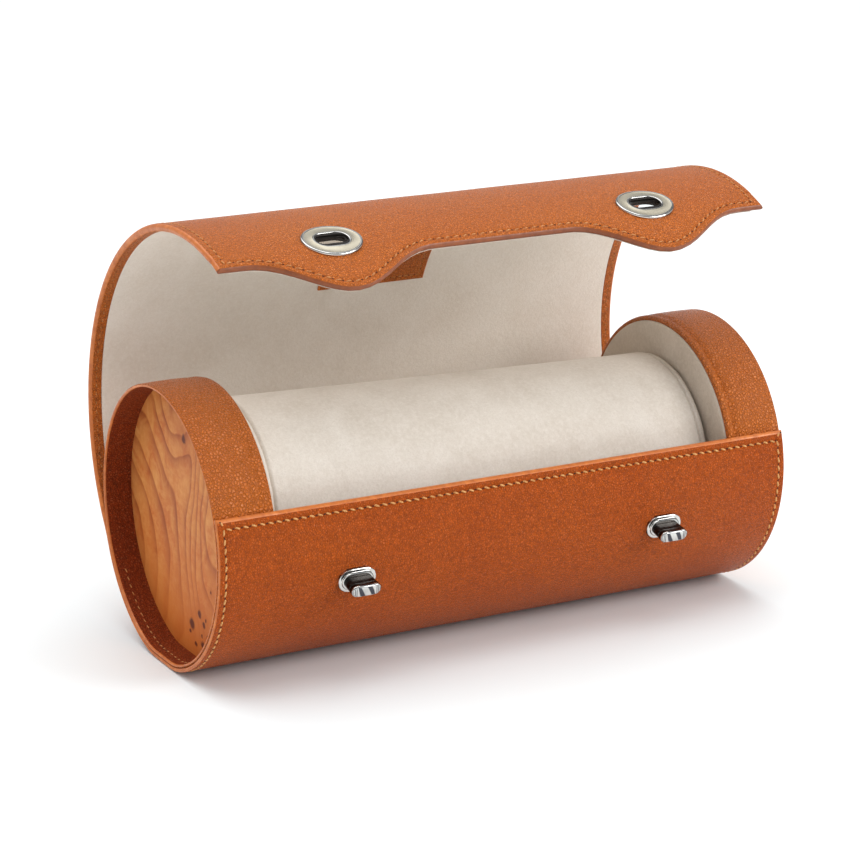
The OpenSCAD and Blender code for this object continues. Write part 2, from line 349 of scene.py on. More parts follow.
def leather(name, tones, cell, depth, rough, crease, shine, grain, glint_tips=0.2, stretch=(1, 1, 1),
            turn=(0, 0, 0), low=None):
    """Grained leather in (base, deep, pale) tones: pebbles of about cell mm, with creases depth mm deep,
    and a streaky fine grain, painted shade in the hollows between pebbles (partly the grain's own darker
    valleys) and painted glints on the pebble tops. low gives the tones it fades to near the floor."""
    n = Nodes(name)
    size = cell * MM
    at = n.where(stretch, turn)
    warp = n.noise(at, 0.35 / size, 2, out="Color")
    bent = n.vec("ADD", at, n.scaled(warp, 0.55 * size))

    def gap(scale):
        """Distance from the creases between cells."""
        cells = n.add("ShaderNodeTexVoronoi", {"feature": "DISTANCE_TO_EDGE"}, Vector=bent, Scale=scale)
        return cells.outputs["Distance"]

    def cloudy(base, deep, pale):
        return n.mix(0.35, base, n.over(deep, pale, broad, 0.32, 0.70))

    wide = gap(1 / size)
    pebble = n.span(wide, 0.0, 0.26, smooth=True)
    fine = n.span(gap(2.3 / size), 0.0, 0.25, smooth=True)
    tooth = n.noise(at, 3.2 / size, 3)
    streaks = n.noise(n.where((1, 2.1, 0.75), (38, 0, 0)), 0.70 / size, 3, 0.62)
    broad = n.noise(n.where(), 22, 4, 0.55)
    wave = n.noise(at, 60, 3)
    height = n.plus(n.times(pebble, 0.55), n.times(fine, 0.22))
    height = n.plus(height, n.times(tooth, 0.22))
    height = n.plus(height, n.times(streaks, 0.50))
    tone = cloudy(*tones)
    if low:
        over_floor = n.split(n.where())["Z"]
        tone = n.mix(n.span(over_floor, 0.022, 0.039, smooth=True), cloudy(*low), tone)
    colour = n.over(tone, tones[1], wave, 0.35, 0.75, 0.30)
    # Painted shade: the hollows between pebbles darken by crease, partly the grain's own darker valleys
    shaded_hollows = n.math("SUBTRACT", 1.0, pebble, clamp=True)
    colour = n.mix(n.times(shaded_hollows, crease), colour, tuple(c * 0.62 for c in tones[1]))
    colour = n.mix(1.0, colour, n.span(streaks, 0.30, 0.70, 1.0 - grain, 1.0 + grain), "MULTIPLY")
    # Painted glints: pebble tops turn pale and desaturated, standing in for sheen on the grain
    painted_glint = n.times(n.span(wide, 0.22, 0.46, 0.0, glint_tips, True), n.span(tooth, 0.42, 0.62))
    colour = n.mix(painted_glint, colour, (0.90, 0.52, 0.32))
    return n.finish(Base_Color=colour, Roughness=n.span(tooth, 0.3, 0.7, *rough),
                    Normal=n.bump(height, depth), Specular_IOR_Level=shine)


def suede(name, base, dark, light, nap=0.55, sheen=0.25):
    """Suede: a matt nap with clouds where the pile leans over."""
    n = Nodes(name)
    at = n.where()
    fuzz = n.noise(at, 1 / (nap * MM), 4, 0.65)
    speck = n.noise(at, 0.42 / (nap * MM), 3, 0.6)
    cloud = n.noise(at, 55, 4, 0.6, 0.4)
    tone = n.over(dark, light, cloud, 0.32, 0.70)
    tone = n.mix(0.55, tone, base)
    tone = n.over(tone, light, speck, 0.40, 0.72, 0.50)
    tone = n.over(tone, dark, fuzz, 0.55, 0.30, 0.45)
    height = n.plus(fuzz, speck)
    return n.finish(Base_Color=tone, Roughness=n.span(fuzz, 0.3, 0.7, 0.86, 1.0),
                    Normal=n.bump(height, 0.16, 0.8), Sheen_Weight=sheen, Sheen_Roughness=0.45,
                    Sheen_Tint=(*light, 1), Specular_IOR_Level=0.15)


def plain(name, base, dark, grain, dark_at, patch, rough, relief, shine=0.5):
    """Edge paint, thread or board, and the painted shade on the flap's front roll: base with streaks of dark
    from a noise, and patches with a scale and strength."""
    n = Nodes(name)
    fibre = n.noise(n.where(), *grain)
    tone = n.over(base, dark, fibre, 0.35, dark_at)
    if patch:
        tone = n.over(tone, dark, n.noise(n.where(), patch[0], 3), 0.45, 0.75, patch[1])
    if isinstance(rough, tuple):
        rough = n.span(fibre, 0.3, 0.7, *rough)
    return n.finish(Base_Color=tone, Roughness=rough, Normal=n.bump(fibre, *relief), Specular_IOR_Level=shine)


PAINTED = ((420, 3, 0.6), 0.75, (45, 0.5), (0.32, 0.5), (0.08, 0.7))
WAXED = ((2600, 2), 0.65, (160, 0.4), (0.5, 0.7), (0.08, 0.8), 0.4)
PRESSED = ((700, 4, 0.7), 0.70, None, 0.92, (0.1, 0.6))


def metal(name, base, dark, rough, depth, sweep=1.3):
    """Nickel with a painted reflection: its tone runs in dark and light bands by the way its surface faces,
    standing in for the dim room that polished plating mirrors.
    """
    n = Nodes(name)
    at = n.where()
    cloud = n.noise(at, 300, 3, 0.6)
    facing = n.split(n.add("ShaderNodeTexCoord").outputs["Normal"])
    up = n.plus(n.plus(n.times(facing["Z"], 2.1), n.times(facing["X"], sweep)), n.times(facing["Y"], 0.8))
    # Painted reflection: the facing direction sets dark bands over the base colour
    painted_reflection_bands = n.math("SINE", n.times(up, 3.4))
    tone = n.over(base, dark, painted_reflection_bands, 0.1, -0.55, depth, True)
    tone = n.over(tone, dark, cloud, 0.35, 0.75, 0.25)
    return n.finish(Base_Color=tone, Metallic=1.0, Normal=n.bump(cloud, 0.01, 0.4),
                    Roughness=n.span(cloud, 0.3, 0.7, rough * 0.8, rough * 1.25))


def burl(name, pith, eyes, swirls, shift):
    """Lacquered burl: wide growth arcs round a far pith, swirls round knots, and small dark eyes.
    Its places are (y, z) in mm from the middle of the disc."""
    n = Nodes(name)
    flat = n.split(n.where())
    y = n.times(flat["Y"], 1000.0)
    z = n.math("SUBTRACT", n.times(flat["Z"], 1000.0), AXIS_Z)
    p = n.add("ShaderNodeCombineXYZ", X=y, Y=z, Z=shift).outputs["Vector"]

    def clouds(place, scale, *noise_args, **out):
        return n.noise(n.vec("MULTIPLY", place, (*scale, 1)), 1.0, *noise_args, **out)

    def pushed(place, by, mm):
        return n.vec("ADD", place, n.scaled(n.vec("SUBTRACT", by, (0.5, 0.5, 0.5)), mm))

    def away_from(place, at, squash):
        return n.vec("LENGTH", n.vec("MULTIPLY", n.vec("SUBTRACT", place, (*at, shift)), (*squash, 0.0)))

    def bell_of(away, spread):
        return n.math("POWER", 2.718, n.times(n.times(away, away), -1 / spread))

    bent = pushed(p, clouds(p, (0.028, 0.020), 2, 0.5, out="Color"), 16.0)
    bent = pushed(bent, clouds(p, (0.07, 0.045), 2, 0.5, out="Color"), 3.2)
    rings = n.times(away_from(bent, pith, (1.0, 1.0)), 1 / 11.0)
    for sy, sz, size, lift in swirls:
        fade = bell_of(away_from(bent, (sy, sz), (1.0, 0.62)), 2 * size**2)
        rings = n.plus(rings, n.times(fade, lift))
    spots, halo = 0.0, 0.0
    wobble = pushed(p, n.noise(n.scaled(p, 0.5), 1.0, 2, out="Color"), 1.8)
    for ey, ez, size in eyes:
        away = away_from(wobble, (ey, ez), (0.85, 0.85))
        halo = n.plus(bell_of(away, 7.0 * size**2), halo)
        spots = n.math("ADD", n.span(away, 1.05 * size, 0.45 * size, smooth=True), spots, clamp=True)
    rings = n.plus(rings, n.times(halo, 0.35))
    ring = n.math("FRACT", rings)
    late = n.math("POWER", n.span(ring, 0.30, 0.93), 3.0)
    line = n.times(late, n.span(ring, 0.99, 0.93, smooth=True))
    half_ring = n.math("FRACT", n.times(rings, 2.63))
    veil = clouds(p, (0.06, 0.05), 3, 0.6)
    faint = n.times(n.math("POWER", half_ring, 4.0), n.span(veil, 0.48, 0.66, 0.0, 0.38))
    cloud = clouds(bent, (0.045, 0.024), 3, 0.55)
    fibre = clouds(bent, (2.2, 0.20), 4, 0.7)
    figure = clouds(bent, (0.30, 0.42), 3, 0.6)
    strength = n.span(cloud, 0.36, 0.58, 0.30, 0.95)
    tone = n.over((0.66, 0.260, 0.070), (0.56, 0.155, 0.036), cloud, 0.36, 0.64)
    tone = n.over(tone, (0.73, 0.330, 0.102), figure, 0.42, 0.70, 0.60)
    tone = n.over(tone, (0.48, 0.122, 0.030), ring, 0.25, 0.92, 0.50)
    tone = n.mix(n.times(line, strength), tone, (0.30, 0.064, 0.018))
    tone = n.mix(faint, tone, (0.42, 0.112, 0.032))
    tone = n.over(tone, (0.44, 0.125, 0.036), fibre, 0.50, 0.75, 0.28)
    tone = n.mix(n.times(n.math("MINIMUM", halo, 1.0), 0.55), tone, (0.43, 0.105, 0.027))
    tone = n.over(tone, (0.60, 0.155, 0.028), z, -2.0, -42.0, 0.78)
    tone = n.mix(n.times(spots, 0.90), tone, (0.090, 0.018, 0.012))
    return n.finish(Base_Color=tone, Roughness=n.span(fibre, 0.3, 0.7, 0.36, 0.48),
                    Normal=n.bump(fibre, 0.03, 0.4), Specular_IOR_Level=0.10)


TAN_TONES = ((0.615, 0.110, 0.0045), (0.505, 0.079, 0.003), (0.695, 0.143, 0.010))
FLAP_TONES = ((0.635, 0.158, 0.014), (0.55, 0.118, 0.009), (0.69, 0.195, 0.022))
BAND_TONES = ((0.72, 0.182, 0.022), (0.61, 0.138, 0.013), (0.78, 0.220, 0.034))
# A dark, red copy of the tan leather for the rim recess walls and the back strip: painted shade where little
# light reaches, partly the inner leather's own deeper tone
SHADED_INNER_TONES = ((0.29, 0.044, 0.006), (0.18, 0.022, 0.004), (0.40, 0.075, 0.011))
BODY_LEATHER = leather("body_leather_mat", TAN_TONES, 0.80, 0.62, (0.32, 0.46), 0.60, 0.20, 0.24, 0.20,
                       (1.2, 1, 0.85))
FLAP_LEATHER = leather("flap_leather_mat", FLAP_TONES, 0.75, 0.44, (0.30, 0.42), 0.66, 0.26, 0.30, 0.42)
ROOT_LEATHER = leather("root_leather_mat", FLAP_TONES, 0.75, 0.44, (0.30, 0.42), 0.66, 0.26, 0.30, 0.42,
                       low=TAN_TONES)
BAND_LEATHER = leather("band_leather_mat", BAND_TONES, 1.05, 0.85, (0.22, 0.34), 0.62, 0.32, 0.12, 0.46,
                       (1.0, 1.15, 0.85), (18, 0, 0))
SHADED_INNER_LEATHER = leather("shaded_inner_leather_mat", SHADED_INNER_TONES, 0.9, 0.35, (0.45, 0.6), 0.6, 0.12, 0.3)
# The edge paint's own colour, also laid along the lip's top as a painted highlight
EDGE = plain("edge_mat", (0.66, 0.19, 0.030), (0.44, 0.100, 0.014), *PAINTED)
# Painted shade: dark brown on the underside of the flap's rolled front edge
BEAD_SHADE = plain("bead_shade_mat", (0.26, 0.062, 0.009), (0.16, 0.034, 0.006), *PAINTED)
LINING = suede("lining_suede_mat", (0.78, 0.695, 0.60), (0.69, 0.60, 0.505), (0.86, 0.79, 0.71))
CHEEK_SUEDE = suede("cheek_suede_mat", (0.60, 0.515, 0.425), (0.50, 0.42, 0.34), (0.74, 0.655, 0.57))
PILLOW_SUEDE = suede("pillow_suede_mat", (0.69, 0.625, 0.55), (0.58, 0.51, 0.435), (0.80, 0.745, 0.68),
                     0.6, 0.3)
CREAM = plain("cream_thread_mat", (0.78, 0.42, 0.15), (0.48, 0.19, 0.05), *WAXED)
TAN_THREAD = plain("tan_thread_mat", (0.66, 0.29, 0.095), (0.36, 0.12, 0.03), *WAXED)
# Needle-hole colour: painted shade of the holes at the stitch ends
HOLE = plain("needle_hole_mat", (0.085, 0.022, 0.008), (0.05, 0.012, 0.005), *PRESSED)
# Each nickel carries painted reflection bands from its facing; the knob's are tight stripes (sweep 24)
CHROME = metal("polished_nickel_mat", (0.72, 0.71, 0.68), (0.05, 0.05, 0.055), 0.10, 0.75)
SATIN = metal("satin_nickel_mat", (0.46, 0.425, 0.335), (0.38, 0.345, 0.27), 0.36, 0.3)
KNOB = metal("knob_nickel_mat", (0.72, 0.71, 0.68), (0.045, 0.045, 0.06), 0.09, 0.95, 24.0)
# Near-black metal for the real back plates, also used as painted shade on the lock risers, under the knobs
# and in the slot sleeves
DARK_METAL_AND_SHADE = metal("dark_metal_and_shade_mat", (0.030, 0.025, 0.022), (0.012, 0.010, 0.010), 0.30, 0.5)
BOARD = plain("board_mat", (0.36, 0.29, 0.22), (0.27, 0.21, 0.15), *PRESSED)
FOAM = plain("foam_mat", (0.72, 0.68, 0.56), (0.62, 0.57, 0.45), *PRESSED)
NEAR_EYES = ((-10, -30, 1.6), (-3.5, -35.5, 2.2), (-13.5, -33, 1.2), (-16.5, -36.5, 1.1), (-12, -40.5, 1.4),
             (-24.5, -24, 1.5), (-11.5, -37.5, 0.9), (-6.5, -42, 1.0), (-2, -38.5, 0.8), (-15, -31, 0.8),
             (0, 29, 1.7), (-20, -19.5, 0.7), (-20, -39.5, 1.2))
FAR_EYES = ((20, -18, 1.7), (25, -23, 1.2), (17, -25, 1.3), (23, -12, 0.9), (-12, 26, 1.4), (-17, 22, 0.8),
            (13, -20, 0.8), (-30, -8, 1.0))
WOOD = {
    "left": burl("burl_left_mat", (58, -20), NEAR_EYES,
                 ((-4, 22, 9, -1.8), (-15, -11, 11, 2.6), (-6, -35, 8, -1.2), (8, 36, 8, 1.3),
                  (-24, 12, 9, 1.8)), 3.1),
    "right": burl("burl_right_mat", (-58, 20), FAR_EYES,
                  ((20, -19, 10, 2.0), (-15, 24, 9, 1.6), (30, 16, 12, 1.8), (-20, -30, 8, 1.2)), 11.7),
}


def finish_piece(ob, body=None, blend=None, replaces=()):
    """Attach a piece to the body it rides on, or bake its transform when it lies between two bodies, and hide
    the CAD nodes it stands for."""
    if body:
        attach(ob, body)
    if blend:
        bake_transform(ob)
    if replaces:
        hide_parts(*replaces)
    return ob


# ---------- stitches ----------

def sew(name, spots, thread_mat, length=2.35, radius=0.42, slant=0.42, rise=0.16):
    """Threads and needle holes at (point, along, normal) spots, in mm; the holes are dark dimples, painted
    shade.
    """
    verts, faces, index = [], [], []
    rings, sides = 5, 6
    turns = [2 * pi * m / sides for m in range(sides)]
    for point, along, normal in spots:
        along, normal = Vector(along).normalized(), Vector(normal).normalized()
        across_it = normal.cross(along).normalized()
        turned = (along * cos(slant) + across_it * sin(slant)).normalized()
        other = normal.cross(turned).normalized()
        start = len(verts)
        for k in range(rings):
            t = -1 + 2 * k / (rings - 1)
            lift = rise - 0.55 * radius - 0.9 * radius * t**4
            middle = Vector(point) + turned * (length / 2 * t) + normal * lift
            size = radius * (1 - 0.35 * t * t)
            verts += [tuple(middle + other * size * cos(a) + normal * size * sin(a)) for a in turns]
        faces += loop_faces(rings, sides, start)
        faces.append(tuple(start + m for m in range(sides))[::-1])
        faces.append(tuple(start + (rings - 1) * sides + m for m in range(sides)))
        index += [0] * ((rings - 1) * sides + 2)
        # A dark dimple past the thread's end: painted shade of the needle hole
        start = len(verts)
        middle = Vector(point) + along * (length / 2 + 0.42)
        verts += [tuple(middle + along * 0.42 * cos(a) + across_it * 0.30 * sin(a) - normal * 0.03)
                  for a in turns]
        verts += [tuple(middle + normal * 0.07), tuple(middle - normal * 0.2)]
        for m in range(sides):
            q = (m + 1) % sides
            faces += [(start + m, start + q, start + sides), (start + q, start + m, start + sides + 1)]
        index += [1] * (2 * sides)
    return make(name, verts, faces, [thread_mat, HOLE], index, sharp=70, merge=0)


# ---------- body ----------

def arc_angle(mm):
    """Degrees that an arc on the wrap's outer face takes."""
    return degrees(mm / BODY_R)


def body_spot(x, radius, angle):
    """(point, direction round the body, outward normal) on a round layer of the body."""
    y, z = ring_point(radius, angle)
    a = radians(angle)
    return (x, float(y), float(z)), (0, -sin(a), cos(a)), (0, cos(a), sin(a))


def build_wrap():
    """The leather skin with its rolled lip, and the stitches along the lip, the ends and inside the rims."""
    # Lines close together where the lip's facing starts
    facing_ends = [side * (ROOM_HALF + step) for side in (-1, 1) for step in (-0.08, 0.08)]
    xs = np.unique(np.concatenate([across(HALF_LEN, EDGE_D, 42), facing_ends]))
    run = radians(360 + WRAP_END - LIP) * BODY_R
    rows = np.concatenate([EDGE_D[:-2], np.arange(9, run - 1, 2.2), [run]])
    X, D = np.meshgrid(xs, rows, indexing="ij")
    angle = LIP + np.degrees(D / BODY_R)
    y, z = ring_point(BODY_R, angle)
    flat = ease(2.0, 0.0, np.abs(z))
    ny, nz = np.cos(np.radians(angle)) * (1 - flat), np.sin(np.radians(angle)) * (1 - flat) - flat
    long = np.hypot(ny, nz)
    points = np.stack([X, y, z], -1)
    normals = np.stack([np.zeros_like(X), ny / long, nz / long], -1)
    du, dv = HALF_LEN - np.abs(X), D
    soft = ease(0, 3, D) * (1 - ease(run - 12, run, D)) * (1 - flat)
    lip = (np.abs(X) < ROOM_HALF) & (D < 3.5)
    roll = np.where(lip, 1.4, 0.75)
    top = -np.maximum(rounded(du, 0.75), rounded(dv, roll))
    lip_furrow = 0.42 * bell(dv, LIP_SEAM, 0.6) * ease(1.8, 2.6, du)
    end_furrow = 0.26 * bell(du, END_SEAM, 0.5) * ease(2.8, 3.8, dv)
    top -= lip_furrow + end_furrow
    top += 0.45 * bell(dv, 1.8, 0.9) * ease(0, 2, du)
    top += 0.07 * soft * soft_noise(points, 26, 4.0)
    top = np.minimum(top, 0.20) * (1 - flat) + np.minimum(top, 0.0) * flat
    bottom = -np.where(lip, 3.5, WRAP_T) + rounded(np.minimum(du, dv), 0.75)
    # Edge paint on the body's cut ends, and the same lighter colour along the top 1.3 mm of the lip as a
    # painted highlight
    ob = make_sheet("body_skin", points, normals, top, bottom, [BODY_LEATHER, EDGE], (du < 0.5) | (dv < 1.3))
    finish_piece(ob, "case", replaces=("body_wrap", "front_lip_facing"))

    first = HALF_LEN - 3.0
    count = int(2 * first / 3.0) + 1
    lip_spots = []
    for i in range(count):
        x = -first + 2 * first * (i + 0.5) / count
        point, _, normal = body_spot(x, BODY_R - 0.22, LIP + arc_angle(LIP_SEAM))
        lip_spots.append((point, (1, 0, 0), normal))
    finish_piece(sew("lip_stitches", lip_spots, CREAM, 2.35, 0.37, -0.42), "case")
    for name, side in SIDES:
        spots = []
        d = 4.6
        while d < run - 8:
            angle = LIP + arc_angle(d)
            point, along, normal = body_spot(side * (HALF_LEN - END_SEAM), BODY_R - 0.16, angle)
            if abs(angle - 270) < 12:
                point, normal = (point[0], point[1], max(point[2], 0.16)), (0, 0, -1)
            spots.append((point, along, normal))
            d += 3.0
        point, _, normal = body_spot(side * (HALF_LEN - 2.2), BODY_R + 0.02, LIP + arc_angle(1.9))
        spots.append((point, (side * 0.6, -0.25, 0.75), normal))
        finish_piece(sew(f"{name}_end_stitches", spots, CREAM, slant=0.22 * side), "case")
        inner = []
        angle = LIP + 2
        while angle < 360 + WRAP_END:
            point, along, normal = body_spot(side * (HALF_LEN - 3.6), RIM_R - 0.04, angle)
            inner.append((point, along, (0, -normal[1], -normal[2])))
            angle += degrees(3.0 / RIM_R)
        stitches = sew(f"{name}_rim_stitches", inner, TAN_THREAD, 1.9, 0.24, 0.2, 0.12)
        finish_piece(stitches, "case")


def build_inside():
    """Suede in the body and the leather strip along its back edge."""
    def shell(name, start, end, outer, inner, mat, node, swell):
        run = radians(end - start) * inner
        edge_rows = EDGE_D[EDGE_D < min(3.0, run / 2)]
        middle = np.linspace(edge_rows[-1], run - edge_rows[-1], max(3, int(run / 3)))
        rows = np.unique(np.concatenate([edge_rows, middle, run - edge_rows]))
        X, D = np.meshgrid(np.linspace(-ROOM_HALF, ROOM_HALF, 46), rows, indexing="ij")
        angle = start + np.degrees(D / inner)
        y, z = ring_point(inner, angle)
        points = np.stack([X, y, z], -1)
        out = np.radians(angle)
        normals = np.stack([np.zeros_like(X), -np.cos(out), -np.sin(out)], -1)
        top = -rounded(np.minimum(D, run - D), 0.5) + swell * soft_noise(points, 30, 9.0)
        bottom = np.full_like(top, -(outer - inner))
        finish_piece(make_sheet(name, points, normals, top, bottom, [mat]), "case", replaces=(node,))

    back = 360 + ROOT - FACING
    shell("body_suede", LIP + FACING, back, 47.3, INSIDE_R, LINING, "body_lining", 0.10)
    # The back strip takes the dark leather copy: painted shade deep in the body
    shell("back_strip", back, 360 + ROOT, BOARD_R, INSIDE_R - 0.1, SHADED_INNER_LEATHER,
          "rear_hinge_strip", 0.03)


def build_cheeks():
    """The rims with their leather bands, and the suede discs inside."""
    for name, side in SIDES:
        disc, crease = (47.5, 48.2) if side < 0 else (46.5, 47.65)
        outer = [(89.8, disc), (89.3, disc + 0.05), (89.0, disc + 0.25), (88.9, disc + 0.45),
                 (89.0, max(disc + 0.6, 47.7)), (89.25, 48.05), (89.7, 48.27), (90.2, 48.38), (90.8, 48.4),
                 (91.4, 0.4 * 48.4 + 0.6 * crease + 0.1), (91.9, crease + 0.1), (92.2, crease),
                 (92.5, crease + 0.12), (93.0, 0.5 * 48.4 + 0.5 * crease), (94.2, 48.48), (97.5, 48.58),
                 (102, 48.6), (106, 48.54), (108.6, 48.46), (109.8, 48.44), (110.25, 48.33), (110.5, 48.12)]
        rim = [(110.6, 47.86), (110.53, 47.58), (110.3, 47.38)]
        wall = [(109.9, 47.32), (108.4, 47.30), (107.3, 47.24), (106.9, 47.24), (105.5, 47.30), (102, 47.31),
                (100, 47.32), (96, 47.25), (90, 47.2)]
        profile = outer + rim + wall
        # Index 1 gives the recess wall the dark leather copy, painted shade; index 2 is the rim's edge paint
        index = [0] * (len(outer) - 1) + [2] * (len(rim) + 1) + [1] * len(wall)
        ob = revolve(f"{name}_band", profile, [BAND_LEATHER, SHADED_INNER_LEATHER, EDGE], index, 240, side)
        finish_piece(ob, "case", replaces=(f"{name}_cheek_band",))
        puff = 0.3 if side < 0 else 0.0
        face = [(89.9, disc - 0.1), (89.2, disc + 0.2), (88.85 - puff, disc + 0.12),
                (88.66 - puff, disc - 0.2), (88.60 - puff, disc - 0.7), (88.64 - puff, disc - 1.6),
                (88.72 - puff / 2, disc - 3.5), (88.74, 36.0), (88.72, 30.0), (88.70, 20.0), (88.70, 10.0),
                (88.70, 0.01), (89.9, 0.01)]
        ob = revolve(f"{name}_cheek_face", face, [CHEEK_SUEDE], side=side, steps=180)
        finish_piece(ob, "case", replaces=(f"{name}_cheek_suede",))


# ---------- turn-locks ----------

def at_lock(points, side):
    """From the lock's frame (Z outwards, 0 on the leather) to the row frame."""
    a = radians(LOCK_ANGLE)
    return [(side * LOCK_X + x, (BODY_R + z) * cos(a) - y * sin(a),
             (BODY_R + z) * sin(a) + y * cos(a) + AXIS_Z) for x, y, z in points]


def oblong_rings(levels, length, width, straight=0):
    """Rings of a slot-shaped outline at (inset, height) levels."""
    return [[(x, y, h) for x, y in oblong_line(length - 2 * inset, width - 2 * inset, straight=straight)]
            for inset, h in levels]


def build_locks():
    """Each turn-lock's seat with its dark riser, and the bright knob on it. The riser and the knob's lowest
    rings are near-black as painted shade in the gap under the knob.
    """
    for name, side in SIDES:
        verts, faces = stack(oblong_rings(
            [(0.0, -0.5), (0, 0.62), (0.06, 0.80), (0.2, 0.92), (0.55, 0.98), (1.05, 1.0), (1.12, 1.06),
             (1.16, 1.32), (1.24, 1.46), (1.42, 1.55), (1.75, 1.58), (2.55, 1.58)], *LOCK_SEAT))
        # Near-black riser: painted shade in the gap under the knob
        riser, riser_faces = stack(oblong_rings(
            [(0.25, 1.2), (0.25, 1.7), (0.12, 1.9), (0.1, 3.2), (0.1, 5.0), (0.16, 5.2), (0.3, 5.33)],
            *LOCK_BAR))
        marks = [0] * len(faces) + [1] * len(riser_faces)
        faces = faces + [tuple(i + len(verts) for i in f) for f in riser_faces]
        placed = at_lock(verts + riser, side)
        ob = make(f"{name}_lock_seat", placed, faces, [CHROME, DARK_METAL_AND_SHADE], marks, 30, 0)
        finish_piece(ob, "case", replaces=(f"{name}_lock_base",))
        rings = oblong_rings([(0.6, 5.46), (0.3, 5.5), (0.1, 5.68), (0, 5.95), (0, 7.2), (0.06, 7.6),
                              (0.24, 7.84), (0.5, 7.93)], LOCK_BAR[0], KNOB_WIDE, 9)
        verts, faces = stack(rings, cap_end=False)
        count = len(rings[0])
        # The knob's lowest rings and bottom are near-black: painted shade under the knob
        marks = [int(i < 4 * count or i == len(faces) - 1) for i in range(len(faces))]
        top = strip_cap((len(rings) - 1) * count, count, 7)
        faces, marks = faces + top, marks + [0] * len(top)
        verts = [(x, y, z + (0.3 - 0.01 * x * x) * max(0.0, (z - 7.0) / 0.93)) for x, y, z in verts]
        ob = make(f"{name}_knob_top", at_lock(verts, side), faces, [KNOB, DARK_METAL_AND_SHADE], marks, 50, 0)
        finish_piece(ob, f"{name}_knob", replaces=(f"{name}_lock_knob",))


# ---------- flap ----------

def heading(k):
    return ROOT_HEADING + OPEN_BEND * k


def line_at(k):
    y, z = ROOT_R * cos(radians(ROOT)), ROOT_R * sin(radians(ROOT)) + AXIS_Z
    for m in range(k):
        y += CHORD * cos(radians(heading(m)))
        z += CHORD * sin(radians(heading(m)))
    return y, z


def panel_middle(k):
    """(y, z, heading) of the flap's middle surface half way along panel k."""
    y, z = line_at(k)
    h = radians(heading(k))
    return y + CHORD / 2 * cos(h) + SAG * sin(h), z + CHORD / 2 * sin(h) - SAG * cos(h), heading(k)


def flap_line(zone, t):
    """(y, z, heading) of the flap's outer face in a zone, with t from 0 to 1 (mm of arc in the last)."""
    if zone == 0:
        a = radians(WRAP_END)
        p0 = np.array([BODY_R * cos(a), BODY_R * sin(a) + AXIS_Z])
        y, z, h = panel_middle(0)
        h1 = radians(h)
        p1 = np.array([y + FLAP_T / 2 * sin(h1), z - FLAP_T / 2 * cos(h1)])
        h0 = radians(WRAP_END + 90)
        reach = float(np.hypot(*(p1 - p0)))
        m0, m1 = reach * np.array([cos(h0), sin(h0)]), reach * np.array([cos(h1), sin(h1)])
        p = hermite(t, p0, m0, p1, m1)
        v = ((6 * t**2 - 6 * t) * p0 + (3 * t**2 - 4 * t + 1) * m0
             + (-6 * t**2 + 6 * t) * p1 + (3 * t**2 - 2 * t) * m1)
        return float(p[0]), float(p[1]), degrees(atan2(v[1], v[0]))
    y, z, h = panel_middle(zone - 1)
    h0 = radians(h)
    if zone < PANELS:
        h1, radius = h0 + radians(OPEN_BEND) * t, CURVE_R
    else:
        h1, radius = h0 + t / PANEL_R, PANEL_R
    y += radius * (sin(h1) - sin(h0)) + FLAP_T / 2 * sin(h1)
    z += -radius * (cos(h1) - cos(h0)) - FLAP_T / 2 * cos(h1)
    return y, z, degrees(h1)


def half_at(zone, t):
    """Half width of the flap."""
    if zone == 0:
        first_half = ROOT_HALF + (TIP_HALF - ROOT_HALF) * ARC / 2 / REACH
        return HALF_LEN + (first_half - HALF_LEN) * float(ease(0, 1, t))
    s = (zone - 0.5) * ARC + (ARC * t if zone < PANELS else t)
    return ROOT_HALF + (TIP_HALF - ROOT_HALF) * min(s, REACH) / REACH


def thick_at(zone, t):
    return WRAP_T + (FLAP_T - WRAP_T) * float(ease(0.1, 0.7, t)) if zone == 0 else FLAP_T


def wave_at(x):
    """Arc from the middle of the last panel to the front edge, and the cosine of the edge's slope."""
    u = np.minimum(1, np.abs(np.abs(x) - LOCK_X) / WAVE_HALF)
    slope = WAVE_DEPTH * pi / 2 / WAVE_HALF * np.sin(np.pi * u)
    return EDGE_DROP + WAVE_DEPTH * (1 + np.cos(np.pi * u)) / 2, 1 / np.sqrt(1 + slope**2)


def flap_frame(zone, t):
    """y, z, the outward normal and the direction towards the front edge on the flap's outer face."""
    y, z, h = flap_line(zone, t)
    h = radians(h)
    return y, z, (0.0, sin(h), -cos(h)), (0.0, cos(h), sin(h))


def zone_blend(zone):
    """The two bodies a zone lies between and a point on each, or None on the last one."""
    if zone == PANELS:
        return None
    if zone == 0:
        y, z = line_at(0)
        h = radians(heading(0))
        along = np.array([0, cos(h), sin(h)])
        start = np.array([0, y, z]) - 1.0 * along
        return "case", "flap_1", tuple(start * MM), tuple((start + 11.0 * along) * MM)
    a, b = panel_middle(zone - 1), panel_middle(zone)
    return f"flap_{zone}", f"flap_{zone + 1}", (0, a[0] * MM, a[1] * MM), (0, b[0] * MM, b[1] * MM)


def zone_piece(ob, zone, replaces=()):
    way = zone_blend(zone)
    return finish_piece(ob, None if way else "flap_8", way, replaces)


def frame_at(zone, mm):
    """flap_frame at mm of arc past a zone's start, or in the zone before it when mm is negative."""
    if mm < 0:
        return flap_frame(zone - 1, 1 + mm / ARC)
    return flap_frame(zone, mm if zone == PANELS else mm / ARC)


def off_face(x, frame, lift):
    """A point lift mm out from the flap's outer face."""
    y, z, n, _ = frame
    return float(x), y + lift * n[1], z + lift * n[2]


